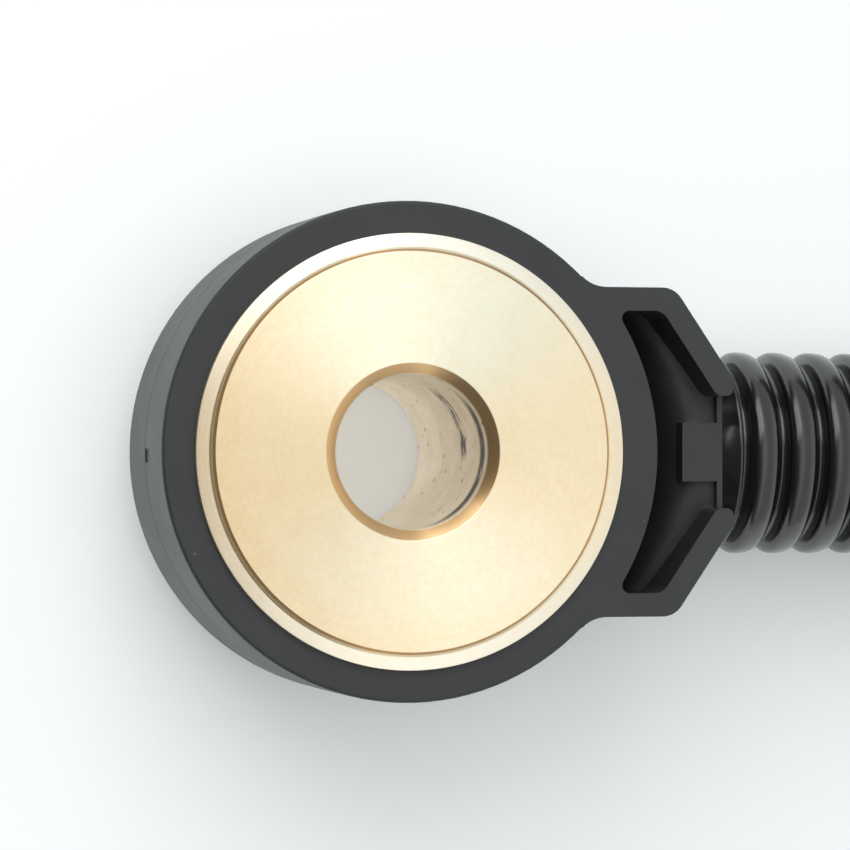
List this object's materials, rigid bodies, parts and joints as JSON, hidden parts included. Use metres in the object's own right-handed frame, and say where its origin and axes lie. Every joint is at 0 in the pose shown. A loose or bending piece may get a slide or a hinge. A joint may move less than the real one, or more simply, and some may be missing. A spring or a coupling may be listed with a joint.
{
  "type": "engine knock sensor",
  "caption": "Bolt-on engine knock sensor: ring body with a brass core, side lug, and a short lead in corrugated conduit that ends in a sealed plug.",
  "frame": {"origin": "centre of the bolt bore on the contact face that seats on the engine block", "axes": "+Z leaves the contact face along the bore, towards the engine block; +X towards the lug that the lead leaves; the sensor lies on its back, with the floor at z = -18 mm"},
  "size_m": [0.2165, 0.1585, 0.018],
  "materials": {
    "moulded_black": "glass filled nylon, matte black",
    "turned_brass": "turned pale brass",
    "ceramic_grey": "fired piezo ceramic with silvered faces",
    "contact_brass": "rolled brass sheet",
    "film_amber": "polyimide film",
    "sleeve_white": "shrunk polymer sleeve",
    "ground_steel": "turned and ground steel",
    "spring_steel": "oiled spring steel",
    "chip_ceramic": "chip resistor",
    "crimp_tin": "tinned terminal strip",
    "core_white": "wire insulation, white",
    "core_black": "wire insulation, black",
    "jacket_grey": "lead jacket",
    "conduit_black": "corrugated nylon conduit, glossy black",
    "plug_black": "moulded plug, satin black",
    "shell_black": "moulded rear shell, satin black",
    "seal_orange": "silicone seal"
  },
  "bodies": {
    "root": {"sensor_housing": "moulded_black", "core_bushing": "turned_brass", "shank_sleeve": "sleeve_white", "front_insulator": "film_amber", "front_electrode": "contact_brass", "piezo_ring": "ceramic_grey", "rear_electrode": "contact_brass", "rear_insulator": "film_amber", "seismic_mass": "ground_steel", "spring_washer": "spring_steel", "ring_nut": "ground_steel", "load_resistor": "chip_ceramic", "crimp_terminal_a": "crimp_tin", "crimp_terminal_b": "crimp_tin", "lead_core_a": "core_white", "lead_core_b": "core_black", "lead_jacket": "jacket_grey", "lead_conduit": "conduit_black", "plug_housing": "plug_black", "plug_pin_a": "crimp_tin", "plug_pin_b": "crimp_tin", "plug_seal_a": "seal_orange", "plug_seal_b": "seal_orange", "plug_rear_shell": "shell_black"}
  },
  "joints": []
}
